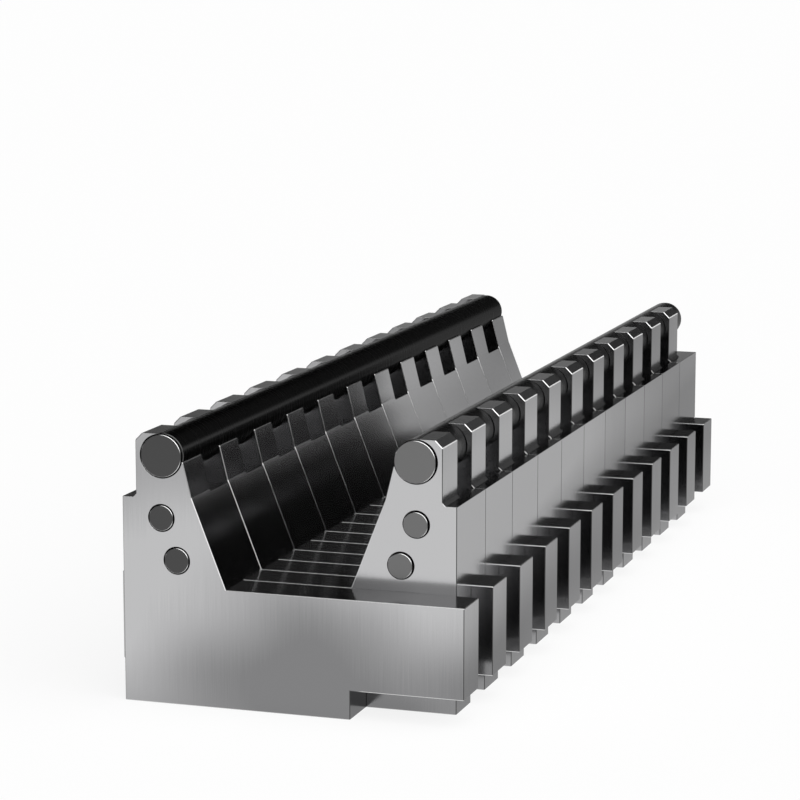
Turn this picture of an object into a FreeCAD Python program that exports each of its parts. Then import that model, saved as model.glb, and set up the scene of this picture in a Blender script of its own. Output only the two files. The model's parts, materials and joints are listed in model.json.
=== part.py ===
import FreeCAD
import Part
import os
from math import sqrt

# Adjustable lower V die for a press brake, all sizes in millimetres.
#
# Two combs of thick steel plates push into each other. Each plate is an L: a leg that lies on the
# bed of the press and an arm that stands at one end of it. The left comb's arms stand on the left
# and the right comb's on the right, and each comb's legs run under the other comb's arms, so the
# V between the arms opens and closes by sliding the combs across the bed. Two tie rods hold each
# comb together, and a roller in the tops of its posts carries the sheet.
#
# Frame: X across the V, Y along the die, Z up. The origin is on the bed, midway between the two
# roller axes and at the middle of the die's length. The front is the end at -Y.

# Combs
plate_thickness = 40.0
left_plate_count = 12
v_opening = 202.5
leg_clearance = 0.3
bridge_clearance = 0.3

# Leg and foot of a plate, from its outer face inwards
leg_length = 290.0
foot_length = 195.0
foot_height = 24.0
leg_height = 74.5

# Arm and post of a plate
arm_height = 72.0
arm_flare = 29.0
post_height = 53.0
post_inset = 12.0
post_foot_bevel = 2.5
post_chamfer = 6.0
post_flare = 7.0
waist_rise = 2.0

# Roller and its open seat in each post
roller_diameter = 36.0
roller_clearance = 0.09
roller_end_chamfer = 0.8
seat_wall = 4.4
lip_drop = 4.5
lip_wall = 1.2

# Tie rods and their holes
rod_diameter = 22.0
rod_clearance = 0.1
rod_end_chamfer = 0.6
upper_rod_inset = 34.0
upper_rod_cover = 5.0
lower_rod_inset = 47.0
lower_rod_cover = 10.5

# How far rods and rollers stand out of the end plates
left_front_proud = 0.8
right_front_proud = 2.5
rear_proud = 0.8

# Heights
leg_top = foot_height + leg_height
bridge_underside = leg_top + bridge_clearance
ledge_top = leg_top + arm_height
post_top = ledge_top + post_height
waist_height = ledge_top + waist_rise

# The roller's crown is level with the post tops
seat_radius = roller_diameter / 2 + roller_clearance
roller_axis_height = post_top - roller_diameter / 2
roller_inset = post_inset + seat_wall + seat_radius

# The arm's inner face leans away from the V as it rises: root, waist, lip
lip_height = roller_axis_height - lip_drop
lip_width = roller_inset + sqrt(seat_radius**2 - lip_drop**2) + lip_wall
waist_width = lip_width + post_flare
root_width = waist_width + arm_flare
ledge_width = root_width - arm_flare * arm_height / (waist_height - leg_top)

rod_hole_radius = rod_diameter / 2 + rod_clearance
upper_rod_height = ledge_top - upper_rod_cover - rod_diameter / 2
lower_rod_height = leg_top + lower_rod_cover + rod_diameter / 2
rod_places = {
    "upper": (upper_rod_inset, upper_rod_height),
    "lower": (lower_rod_inset, lower_rod_height),
}

# Plates of the two combs alternate along Y, so the right comb starts one plate further back
plate_pitch = 2 * plate_thickness
right_plate_count = left_plate_count - 1
die_length = (left_plate_count + right_plate_count) * plate_thickness
left_start = -die_length / 2
right_start = left_start + plate_thickness
rear_end = die_length / 2
outer_face = v_opening / 2 + roller_inset

LEFT = -1
RIGHT = 1
ALONG = FreeCAD.Vector(0, 1, 0)


def point(side, inset, height, y=0.0):
    """A point measured from the outer face of a plate on one side of the die."""
    return FreeCAD.Vector(side * (outer_face - inset), y, height)


def outline_face(side, outline, y):
    """A flat face from (inset, height) pairs in order, at one place along the die."""
    corners = [point(side, inset, height, y) for inset, height in outline]
    return Part.Face(Part.makePolygon(corners + corners[:1]))


def leg_and_arm_outline():
    """The L below the ledge: foot, raised leg, and the arm's wide lower part."""
    return [
        (0, 0),
        (foot_length, 0),
        (foot_length, foot_height),
        (leg_length, foot_height),
        (leg_length, leg_top),
        (root_width, leg_top),
        (ledge_width, ledge_top),
        (0, ledge_top),
    ]


def post_outline():
    """The post, with a bevel in the corner at its foot and one on its outer shoulder."""
    return [
        (post_inset - post_foot_bevel, ledge_top),
        (post_inset, ledge_top + post_foot_bevel),
        (post_inset, post_top - post_chamfer),
        (post_inset + post_chamfer, post_top),
        (roller_inset, post_top),
        (roller_inset, roller_axis_height),
        (lip_width, lip_height),
        (waist_width, waist_height),
        (ledge_width, ledge_top),
    ]


def bore(side, inset, height, radius, y_from, y_to):
    """The space that a round hole along the die takes."""
    return Part.makeCylinder(radius, y_to - y_from, point(side, inset, height, y_from), ALONG)


def plate(side, y_front, depth):
    """One L-shaped plate with its arm block, post, rod holes and open roller seat."""
    y_rear = y_front + depth
    body = outline_face(side, leg_and_arm_outline(), y_front).extrude(ALONG * depth)
    if depth > plate_thickness:
        passage_start = y_front + plate_thickness - leg_clearance
        passage = Part.makeBox(
            2 * leg_length,
            y_rear - passage_start,
            bridge_underside,
            FreeCAD.Vector(side * outer_face - leg_length, passage_start, 0),
        )
        body = body.cut(passage)
    post = outline_face(side, post_outline(), y_front).extrude(ALONG * plate_thickness)
    solid = body.fuse(post).removeSplitter()

    seat = bore(side, roller_inset, roller_axis_height, seat_radius, y_front, y_rear)
    rod_holes = [
        bore(side, inset, height, rod_hole_radius, y_front, y_rear)
        for inset, height in rod_places.values()
    ]
    return solid.cut([seat] + rod_holes)


def bar(side, inset, height, diameter, chamfer, y_from, y_to):
    """A round bar along the die with both ends bevelled: a tie rod or a roller."""
    radius = diameter / 2
    middle_from = y_from + chamfer
    middle_to = y_to - chamfer
    middle = bore(side, inset, height, radius, middle_from, middle_to)
    tip_radius = radius - chamfer
    ends = [
        Part.makeCone(radius, tip_radius, chamfer, point(side, inset, height, y), ALONG * way)
        for y, way in ((middle_from, -1), (middle_to, 1))
    ]
    return middle.fuse(ends).removeSplitter()


def comb(name, side, start, count, front_proud):
    """All the pieces of one comb by node name. A comb that reaches the die's end closes flush."""
    pieces = {}
    for index in range(count):
        y_front = start + index * plate_pitch
        depth = min(plate_pitch, rear_end - y_front)
        pieces[f"{name}_plate_{index + 1:02d}"] = plate(side, y_front, depth)
    y_from = start - front_proud
    y_to = rear_end + rear_proud
    for level, (inset, height) in rod_places.items():
        rod = bar(side, inset, height, rod_diameter, rod_end_chamfer, y_from, y_to)
        pieces[f"{name}_{level}_tie_rod"] = rod
    roller = (side, roller_inset, roller_axis_height, roller_diameter, roller_end_chamfer)
    pieces[f"{name}_roller"] = bar(*roller, y_from, y_to)
    return pieces


pieces = comb("left", LEFT, left_start, left_plate_count, left_front_proud)
pieces.update(comb("right", RIGHT, right_start, right_plate_count, right_front_proud))

os.makedirs("parts", exist_ok=True)
for node, shape in pieces.items():
    if not shape.isValid() or len(shape.Solids) != 1:
        raise ValueError(f"{node} is not one sound solid")
    shape.Solids[0].exportStep(f"parts/{node}.step")
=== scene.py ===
import json
from math import cos, pi, radians, sin

import bmesh
import bpy
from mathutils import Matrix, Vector


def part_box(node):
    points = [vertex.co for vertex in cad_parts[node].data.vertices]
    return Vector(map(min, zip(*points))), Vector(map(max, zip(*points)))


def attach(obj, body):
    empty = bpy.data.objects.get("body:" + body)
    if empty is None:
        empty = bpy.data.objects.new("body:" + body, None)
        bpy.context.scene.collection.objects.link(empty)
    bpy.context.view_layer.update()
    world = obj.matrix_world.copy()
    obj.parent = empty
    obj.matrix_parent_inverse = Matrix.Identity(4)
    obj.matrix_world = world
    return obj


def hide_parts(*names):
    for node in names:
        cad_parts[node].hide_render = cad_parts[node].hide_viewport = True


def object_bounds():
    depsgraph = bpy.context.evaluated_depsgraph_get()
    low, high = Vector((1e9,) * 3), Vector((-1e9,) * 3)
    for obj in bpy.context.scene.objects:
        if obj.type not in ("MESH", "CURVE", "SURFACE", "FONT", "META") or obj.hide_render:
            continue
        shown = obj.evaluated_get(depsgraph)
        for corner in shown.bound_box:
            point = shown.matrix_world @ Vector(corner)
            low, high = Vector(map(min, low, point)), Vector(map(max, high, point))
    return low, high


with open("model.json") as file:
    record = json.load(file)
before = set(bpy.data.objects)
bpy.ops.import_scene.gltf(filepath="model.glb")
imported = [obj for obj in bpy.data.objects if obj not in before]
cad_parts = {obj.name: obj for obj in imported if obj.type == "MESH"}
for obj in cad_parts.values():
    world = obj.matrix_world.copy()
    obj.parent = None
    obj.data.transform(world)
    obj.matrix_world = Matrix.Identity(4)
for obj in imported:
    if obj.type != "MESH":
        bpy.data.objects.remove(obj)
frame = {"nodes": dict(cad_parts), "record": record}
cad_low, cad_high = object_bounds()
scene = bpy.context.scene

# The comb plates
# Each plate is one L of thick tool steel, flame cut and then ground all over to a neutral satin grey.
# Every outer edge has a small break where the burr was stoned off. It gets finer up the thin lip
# beside the roller seat, and is fine in the round at the post's foot.
MM = 0.001
EDGE_BREAK = 0.55 * MM
FINE_BREAK = {"To Min": 1.0, "To Max": 0.3}
POST_TOP = cad_high[2]
LIP_RISE = {"From Min": POST_TOP - 5.9 * MM, "From Max": POST_TOP - 0.5 * MM}
FOOT_ROUND = (POST_TOP - 53.5 * MM, POST_TOP - 49.5 * MM)
SHARP_EDGE = radians(30)
SAME_FACE = radians(0.5)
WELD = 0.001 * MM
EDGE_SLOT = 1

GROUND_STEEL = "#C0C0C1"
# The darker grey is painted shade, laid over the plates in the broad clouds below.
GROUND_STEEL_PAINTED_SHADE = "#828283"
STEEL_GRAZING = "#C4C4C4"
GRINDING_LINE = 0.8 * MM
GRINDING_RUN = 60 * MM
GRINDING_DETAIL = 3.0
GRINDING_BREAKUP = 0.6
GRINDING_DEPTH = 0.02 * MM
GRINDING_STRENGTH = 0.003
# Broad clouds of painted shade, fixed to the plates: they darken the middle of the front face and the
# far end.
PAINTED_SHADE_SIZE = (220 * MM, 900 * MM, 160 * MM)
PAINTED_SHADE_START = (1.2, 35.8, 36.9)
PAINTED_SHADE_DETAIL = 1.0
PAINTED_SHADE_AND_TONE_RANGE = {"From Min": 0.35, "From Max": 0.65}
NOISE_RANGE = {"From Min": 0.3, "From Max": 0.7}
PLATE_TONE = {"To Min": -0.02, "To Max": 0.02}
LINE_TONE = {"To Min": -0.015, "To Max": 0.015}
GROUND_ROUGHNESS = {"To Min": 0.14, "To Max": 0.17}

# Edges that lie flat are painted bright, a painted highlight; upright ones are painted dark, oil in
# the joints and painted shade.
UPRIGHT_EDGE_OIL_AND_PAINTED_SHADE = "#484848"
BARE_EDGE_PAINTED_HIGHLIGHT = "#E2E2E2"
PAINTED_HIGHLIGHT_TILT = {"From Min": 0.1, "From Max": 0.3}
NICK = 6 * MM
NICK_DETAIL = 2.0
EDGE_ROUGHNESS = {"To Min": 0.2, "To Max": 0.26}

# The Mix node has its two colours and their blend under these numbers.
FIRST_COLOUR = 6
SECOND_COLOUR = 7
BLEND = 2


def linear(hex_colour):
    """An sRGB hex colour as linear red, green, blue and alpha."""
    shares = [int(hex_colour[i:i + 2], 16) / 255 for i in (1, 3, 5)]
    return [c / 12.92 if c <= 0.04045 else ((c + 0.055) / 1.055) ** 2.4 for c in shares] + [1.0]


def plug(tree, node, inputs):
    """Gives each input, by name or number, a plain value or another node's output."""
    for socket, value in inputs.items():
        if isinstance(value, bpy.types.NodeSocket):
            tree.links.new(value, node.inputs[socket])
        else:
            node.inputs[socket].default_value = value


def add(tree, kind, inputs=None, **settings):
    """Adds a node with its settings and inputs."""
    node = tree.nodes.new(kind)
    for name, value in settings.items():
        setattr(node, name, value)
    plug(tree, node, inputs or {})
    return node


def new_material(name):
    """A new material, its nodes and its surface shader."""
    material = bpy.data.materials.new(name)
    material.use_nodes = True
    return material, material.node_tree, material.node_tree.nodes["Principled BSDF"]


def ground_tool_steel():
    """Surface-ground steel: fine grinding lines, broad clouds of painted shade, each plate a bit its
    own.

    Real grinding lines lie a few hundredths of a millimetre apart, too fine to show. These are as
    coarse as they need to be.
    """
    material, tree, shader = new_material("ground_tool_steel")
    place = add(tree, "ShaderNodeTexCoord").outputs["Object"]
    along = add(
        tree,
        "ShaderNodeMapping",
        {"Vector": place, "Scale": (1 / GRINDING_LINE, 1 / GRINDING_LINE, 1 / GRINDING_RUN)},
    ).outputs["Vector"]
    lines = add(
        tree,
        "ShaderNodeTexNoise",
        {"Vector": along, "Scale": 1.0, "Detail": GRINDING_DETAIL, "Roughness": GRINDING_BREAKUP},
    ).outputs["Fac"]
    # The clouds of painted shade.
    shade_cloud_place = add(
        tree,
        "ShaderNodeMapping",
        {"Vector": place, "Scale": [1 / size for size in PAINTED_SHADE_SIZE], "Location": PAINTED_SHADE_START},
    ).outputs["Vector"]
    painted_shade_and_tone = add(
        tree,
        "ShaderNodeTexNoise",
        {"Vector": shade_cloud_place, "Scale": 1.0, "Detail": PAINTED_SHADE_DETAIL},
    ).outputs["Fac"]
    chance = add(tree, "ShaderNodeObjectInfo").outputs["Random"]
    for span in ({"Value": chance, **PLATE_TONE}, {"Value": lines, **NOISE_RANGE, **LINE_TONE}):
        change = add(tree, "ShaderNodeMapRange", span).outputs["Result"]
        painted_shade_and_tone = add(tree, "ShaderNodeMath", {0: painted_shade_and_tone, 1: change}, operation="ADD").outputs[0]
    # Clouds, each plate's own grey and the grinding lines together blend the steel towards its
    # painted shade.
    shade = add(tree, "ShaderNodeMapRange", {"Value": painted_shade_and_tone, **PAINTED_SHADE_AND_TONE_RANGE}).outputs["Result"]
    colour = add(
        tree,
        "ShaderNodeMix",
        {
            "Factor": shade,
            FIRST_COLOUR: linear(GROUND_STEEL),
            SECOND_COLOUR: linear(GROUND_STEEL_PAINTED_SHADE),
        },
        data_type="RGBA",
    ).outputs[BLEND]
    roughness = add(
        tree,
        "ShaderNodeMapRange",
        {"Value": lines, **NOISE_RANGE, **GROUND_ROUGHNESS},
    ).outputs["Result"]
    relief = add(
        tree,
        "ShaderNodeBump",
        {"Height": lines, "Strength": GRINDING_STRENGTH, "Distance": GRINDING_DEPTH},
    ).outputs["Normal"]
    finish = {
        "Metallic": 1.0,
        "Base Color": colour,
        "Specular Tint": linear(STEEL_GRAZING),
        "Roughness": roughness,
        "Normal": relief,
    }
    plug(tree, shader, finish)
    return material


def broken_edge_steel():
    """Stoned edges: a painted highlight where they lie flat, oil and painted shade where upright."""
    material, tree, shader = new_material("broken_edge_steel")
    facing = add(tree, "ShaderNodeNewGeometry").outputs["True Normal"]
    rise = add(tree, "ShaderNodeSeparateXYZ", {"Vector": facing}).outputs["Z"]
    tilt = add(tree, "ShaderNodeMath", {0: rise}, operation="ABSOLUTE").outputs[0]
    # Painted highlight on flat-lying edges, painted shade on upright ones.
    painted_edge_light = add(tree, "ShaderNodeMapRange", {"Value": tilt, **PAINTED_HIGHLIGHT_TILT}).outputs["Result"]
    colour = add(
        tree,
        "ShaderNodeMix",
        {"Factor": painted_edge_light, FIRST_COLOUR: linear(UPRIGHT_EDGE_OIL_AND_PAINTED_SHADE), SECOND_COLOUR: linear(BARE_EDGE_PAINTED_HIGHLIGHT)},
        data_type="RGBA",
    ).outputs[BLEND]
    place = add(tree, "ShaderNodeTexCoord").outputs["Object"]
    nicks = add(
        tree,
        "ShaderNodeTexNoise",
        {"Vector": place, "Scale": 1 / NICK, "Detail": NICK_DETAIL},
    ).outputs["Fac"]
    roughness = add(
        tree,
        "ShaderNodeMapRange",
        {"Value": nicks, **NOISE_RANGE, **EDGE_ROUGHNESS},
    ).outputs["Result"]
    plug(tree, shader, {"Metallic": 1.0, "Base Color": colour, "Roughness": roughness})
    return material


def geometry_group(name):
    """An empty geometry node group that takes geometry in and gives it back."""
    group = bpy.data.node_groups.new(name, "GeometryNodeTree")
    for way in ("INPUT", "OUTPUT"):
        group.interface.new_socket("Geometry", in_out=way, socket_type="NodeSocketGeometry")
    return group, add(group, "NodeGroupInput").outputs[0]


def one_skin():
    """A node group that welds a solid's faces into one flat-shaded skin."""
    group, skin = geometry_group("one_skin")
    steps = {
        "GeometryNodeRemoveAttribute": {"Name": "custom_normal"},
        "GeometryNodeMergeByDistance": {"Distance": WELD},
        "GeometryNodeSetShadeSmooth": {"Shade Smooth": False},
    }
    for kind, inputs in steps.items():
        skin = add(group, kind, {"Geometry": skin, **inputs}).outputs[0]
    add(group, "NodeGroupOutput", {"Geometry": skin})
    return group


def marked_edges():
    """A node group that gives each sharp outer edge its share of the break."""
    group, skin = geometry_group("marked_edges")
    maths = "ShaderNodeMath"
    angle = add(group, "GeometryNodeInputMeshEdgeAngle").outputs["Signed Angle"]
    share = add(group, maths, {0: angle, 1: SHARP_EDGE}, operation="GREATER_THAN").outputs[0]
    ends = add(group, "GeometryNodeInputMeshEdgeVertices").outputs
    heights = [
        add(group, "ShaderNodeSeparateXYZ", {"Vector": ends[end]}).outputs["Z"]
        for end in ("Position 1", "Position 2")
    ]
    lower, upper = (
        add(group, maths, dict(enumerate(heights)), operation=which).outputs[0]
        for which in ("MINIMUM", "MAXIMUM")
    )
    above = add(group, maths, {0: lower, 1: FOOT_ROUND[0]}, operation="GREATER_THAN").outputs[0]
    below = add(group, maths, {0: upper, 1: FOOT_ROUND[1]}, operation="LESS_THAN").outputs[0]
    in_round = add(group, maths, {0: above, 1: below}, operation="MULTIPLY").outputs[0]
    for span in ({"Value": lower, **LIP_RISE}, {"Value": in_round}):
        fine = add(group, "ShaderNodeMapRange", {**span, **FINE_BREAK}).outputs["Result"]
        share = add(group, maths, {0: share, 1: fine}, operation="MULTIPLY").outputs[0]
    marked = add(
        group,
        "GeometryNodeStoreNamedAttribute",
        {"Geometry": skin, "Name": "edge_break", "Value": share},
        domain="EDGE",
    ).outputs[0]
    add(group, "NodeGroupOutput", {"Geometry": marked})
    return group


def break_edges(piece, skin, marks):
    """Bevels the marked edges of a solid, once its faces are whole again."""
    piece.modifiers.new("one_skin", "NODES").node_group = skin
    whole = piece.modifiers.new("whole_faces", "DECIMATE")
    whole.decimate_type = "DISSOLVE"
    whole.angle_limit = SAME_FACE
    piece.modifiers.new("marked_edges", "NODES").node_group = marks
    bevel = piece.modifiers.new("edge_break", "BEVEL")
    bevel.width = EDGE_BREAK
    bevel.segments = 1
    bevel.limit_method = "WEIGHT"
    bevel.edge_weight = "edge_break"
    bevel.use_clamp_overlap = False
    bevel.loop_slide = False
    bevel.material = EDGE_SLOT


plate_steel = ground_tool_steel()
edge_steel = broken_edge_steel()
plate_skin = one_skin()
plate_marks = marked_edges()
for name, piece in frame["nodes"].items():
    if "_plate_" in name:
        piece.material_slots[0].material = plate_steel
        piece.data.materials.append(edge_steel)
        break_edges(piece, plate_skin, plate_marks)

# The tie rods and rollers
# Turned bars of darker, oiled steel, the right comb's a lighter grey. Two tie rods clamp each
# comb's plates together, and one roller lies loose in the open seats of its posts. The ends of all
# of them have an unoiled bevel, with the edges' painted highlight and shade, and are turned down a
# little, so that they enter their holes easily.
ROUND_STEPS = 96
END_BEVEL = {"tie_rod": 0.3 * MM, "roller": 0.35 * MM}
END_RELIEF = 0.6 * MM
END_LENGTH = 5 * MM
OILED_STEEL = {"left": "#4C4C4C", "right": "#727272"}
OIL_GRAZING = "#A0A0A0"
TURNING_LINE = 0.5 * MM
TURNING_RUN = 60 * MM
TURNING_DETAIL = 2.0
BAR_ROUGHNESS = {"To Min": 0.2, "To Max": 0.28}


def oiled_bar_steel(side):
    """Turned and oiled bar: dark grey metal with fine turning lines and a soft gloss.

    The lines are coarser than a lathe's, so that they show.
    """
    material, tree, shader = new_material(f"oiled_bar_steel_{side}")
    place = add(tree, "ShaderNodeTexCoord").outputs["Object"]
    around = add(
        tree,
        "ShaderNodeMapping",
        {"Vector": place, "Scale": (1 / TURNING_RUN, 1 / TURNING_LINE, 1 / TURNING_RUN)},
    ).outputs["Vector"]
    lines = add(
        tree,
        "ShaderNodeTexNoise",
        {"Vector": around, "Scale": 1.0, "Detail": TURNING_DETAIL},
    ).outputs["Fac"]
    roughness = add(
        tree,
        "ShaderNodeMapRange",
        {"Value": lines, **NOISE_RANGE, **BAR_ROUGHNESS},
    ).outputs["Result"]
    finish = {
        "Metallic": 1.0,
        "Base Color": linear(OILED_STEEL[side]),
        "Specular Tint": linear(OIL_GRAZING),
        "Roughness": roughness,
    }
    plug(tree, shader, finish)
    return material


def turned_bar(name, low, high, bevel, materials):
    """A smooth round bar along Y, as long and as thick as the solid it stands for."""
    centre = (low + high) / 2
    radius = (high.x - low.x) / 2
    lead = radius - END_RELIEF
    half_profile = [
        (0.0, lead - bevel),
        (bevel, lead),
        (END_LENGTH - END_RELIEF, lead),
        (END_LENGTH, radius),
    ]
    rings = [(low.y + depth, size) for depth, size in half_profile]
    rings += [(high.y - depth, size) for depth, size in reversed(half_profile)]
    shape = bmesh.new()
    turns = [2 * pi * step / ROUND_STEPS for step in range(ROUND_STEPS)]
    loops = [
        [shape.verts.new((centre.x + r * cos(a), y, centre.z + r * sin(a))) for a in turns]
        for y, r in rings
    ]
    for near, far in zip(loops, loops[1:]):
        # The end bevels take the stoned-edge steel, with its painted highlight and shade.
        painted_edge_light = near is loops[0] or far is loops[-1]
        for step in range(ROUND_STEPS):
            after = (step + 1) % ROUND_STEPS
            face = shape.faces.new((near[step], near[after], far[after], far[step]))
            face.smooth = True
            face.material_index = EDGE_SLOT if painted_edge_light else 0
    shape.faces.new(loops[0][::-1])
    shape.faces.new(loops[-1])
    bmesh.ops.recalc_face_normals(shape, faces=shape.faces)
    for edge in shape.edges:
        edge.smooth = edge.calc_face_angle() < SHARP_EDGE
    mesh = bpy.data.meshes.new(name)
    shape.to_mesh(mesh)
    shape.free()
    for material in materials:
        mesh.materials.append(material)
    bar = bpy.data.objects.new(name, mesh)
    scene.collection.objects.link(bar)
    return bar


bar_steel = {side: oiled_bar_steel(side) for side in OILED_STEEL}
for body, names in frame["record"]["behaviour"]["bodies"].items():
    for name in names:
        for kind, bevel in END_BEVEL.items():
            if name.endswith(kind):
                low, high = (Vector(corner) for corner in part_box(name))
                materials = (bar_steel[name.split("_")[0]], edge_steel)
                bar = turned_bar(name + "_bar", low, high, bevel, materials)
                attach(bar, body)
                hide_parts(name)

# The floor and the light
# A plain pale floor, which shows only a faint shadow, and a pale band along the horizon. A broad soft
# light stands overhead, leaning to the right, and two weak ones low in front and behind. The rest of
# the studio is dark, and gives the ground steel its contrast. All angles are in degrees.
FLOOR_COLOUR = "#FCFCFC"
FLOOR_ROUGHNESS = 0.9
FLOOR_SIZE = 60.0
FLOOR_GLOW = 0.85
HORIZON_BAND = {"top": 10.0, "full": 6.5}
OVERHEAD = {"towards": (0.5, -0.28, 0.82), "edge": 60, "full": 22, "level": 2.2}
IN_FRONT = {"towards": (-0.31, -0.95, 0.12), "edge": 45, "full": 15, "level": 0.8}
BEHIND = {"towards": (0.16, 0.94, 0.31), "edge": 20, "full": 5, "level": 0.1}


def painted_floor():
    """Matt pale paint on a seamless floor, which glows where it is looked at and so stays white."""
    material, tree, shader = new_material("painted_floor")
    finish = {
        "Base Color": linear(FLOOR_COLOUR),
        "Roughness": FLOOR_ROUGHNESS,
        "Specular IOR Level": 0.0,
    }
    plug(tree, shader, finish)
    path = add(tree, "ShaderNodeLightPath").outputs
    seen = path["Is Camera Ray"]
    for ray in ("Is Glossy Ray", "Is Transmission Ray"):
        seen = add(tree, "ShaderNodeMath", {0: seen, 1: path[ray]}, operation="MAXIMUM").outputs[0]
    glow = add(tree, "ShaderNodeMath", {0: seen, 1: FLOOR_GLOW}, operation="MULTIPLY").outputs[0]
    white = add(tree, "ShaderNodeEmission").outputs["Emission"]
    mixed = add(tree, "ShaderNodeMixShader", {0: glow, 1: shader.outputs["BSDF"], 2: white})
    plug(tree, tree.nodes["Material Output"], {"Surface": mixed.outputs["Shader"]})
    return material


def soft_light(tree, direction, towards, edge, full, level):
    """A round glow in the sky that fades softly from its full level out to its edge."""
    centre = Vector(towards).normalized()
    nearness = add(tree, "ShaderNodeVectorMath", {0: direction, 1: centre}, operation="DOT_PRODUCT")
    fade = {
        "Value": nearness.outputs["Value"],
        "From Min": cos(radians(edge)),
        "From Max": cos(radians(full)),
        "To Max": level,
    }
    return add(tree, "ShaderNodeMapRange", fade, interpolation_type="SMOOTHSTEP").outputs["Result"]


floor_mesh = bpy.data.meshes.new("floor")
half = FLOOR_SIZE / 2
corners = [(-half, -half, 0), (half, -half, 0), (half, half, 0), (-half, half, 0)]
floor_mesh.from_pydata(corners, [], [(0, 1, 2, 3)])
floor_mesh.materials.append(painted_floor())
floor = bpy.data.objects.new("floor", floor_mesh)
scene.collection.objects.link(floor)

sky = bpy.data.worlds.new("studio")
sky.use_nodes = True
scene.world = sky
tree = sky.node_tree
direction = add(tree, "ShaderNodeTexCoord").outputs["Generated"]
light = 0.0
for lamp in (OVERHEAD, IN_FRONT, BEHIND):
    glow = soft_light(tree, direction, **lamp)
    light = add(tree, "ShaderNodeMath", {0: light, 1: glow}, operation="ADD").outputs[0]
fade = {
    "Value": add(tree, "ShaderNodeSeparateXYZ", {"Vector": direction}).outputs["Z"],
    "From Min": sin(radians(HORIZON_BAND["top"])),
    "From Max": sin(radians(HORIZON_BAND["full"])),
}
band = add(tree, "ShaderNodeMapRange", fade, interpolation_type="SMOOTHSTEP").outputs["Result"]
light = add(tree, "ShaderNodeMath", {0: light, 1: band}, operation="MAXIMUM").outputs[0]
plug(tree, tree.nodes["Background"], {"Color": light})

# The camera
# It stands where the photograph was taken from: just right of the die's front end, a little above it.
CAMERA_PLACE = (0.7855, -2.5325, 0.6262)
CAMERA_AZIMUTH = radians(18.27)
CAMERA_ELEVATION = radians(9.48)
CAMERA_LENS = 127.73
CAMERA_SENSOR = 36.0
CAMERA_REACH = (0.05, 200.0)

camera = bpy.data.objects.new("camera", bpy.data.cameras.new("camera"))
scene.collection.objects.link(camera)
camera.location = CAMERA_PLACE
camera.rotation_euler = (pi / 2 - CAMERA_ELEVATION, 0.0, CAMERA_AZIMUTH)
camera.data.lens = CAMERA_LENS
camera.data.sensor_width = CAMERA_SENSOR
camera.data.clip_start, camera.data.clip_end = CAMERA_REACH
scene.camera = camera
scene.view_settings.view_transform = "Standard"
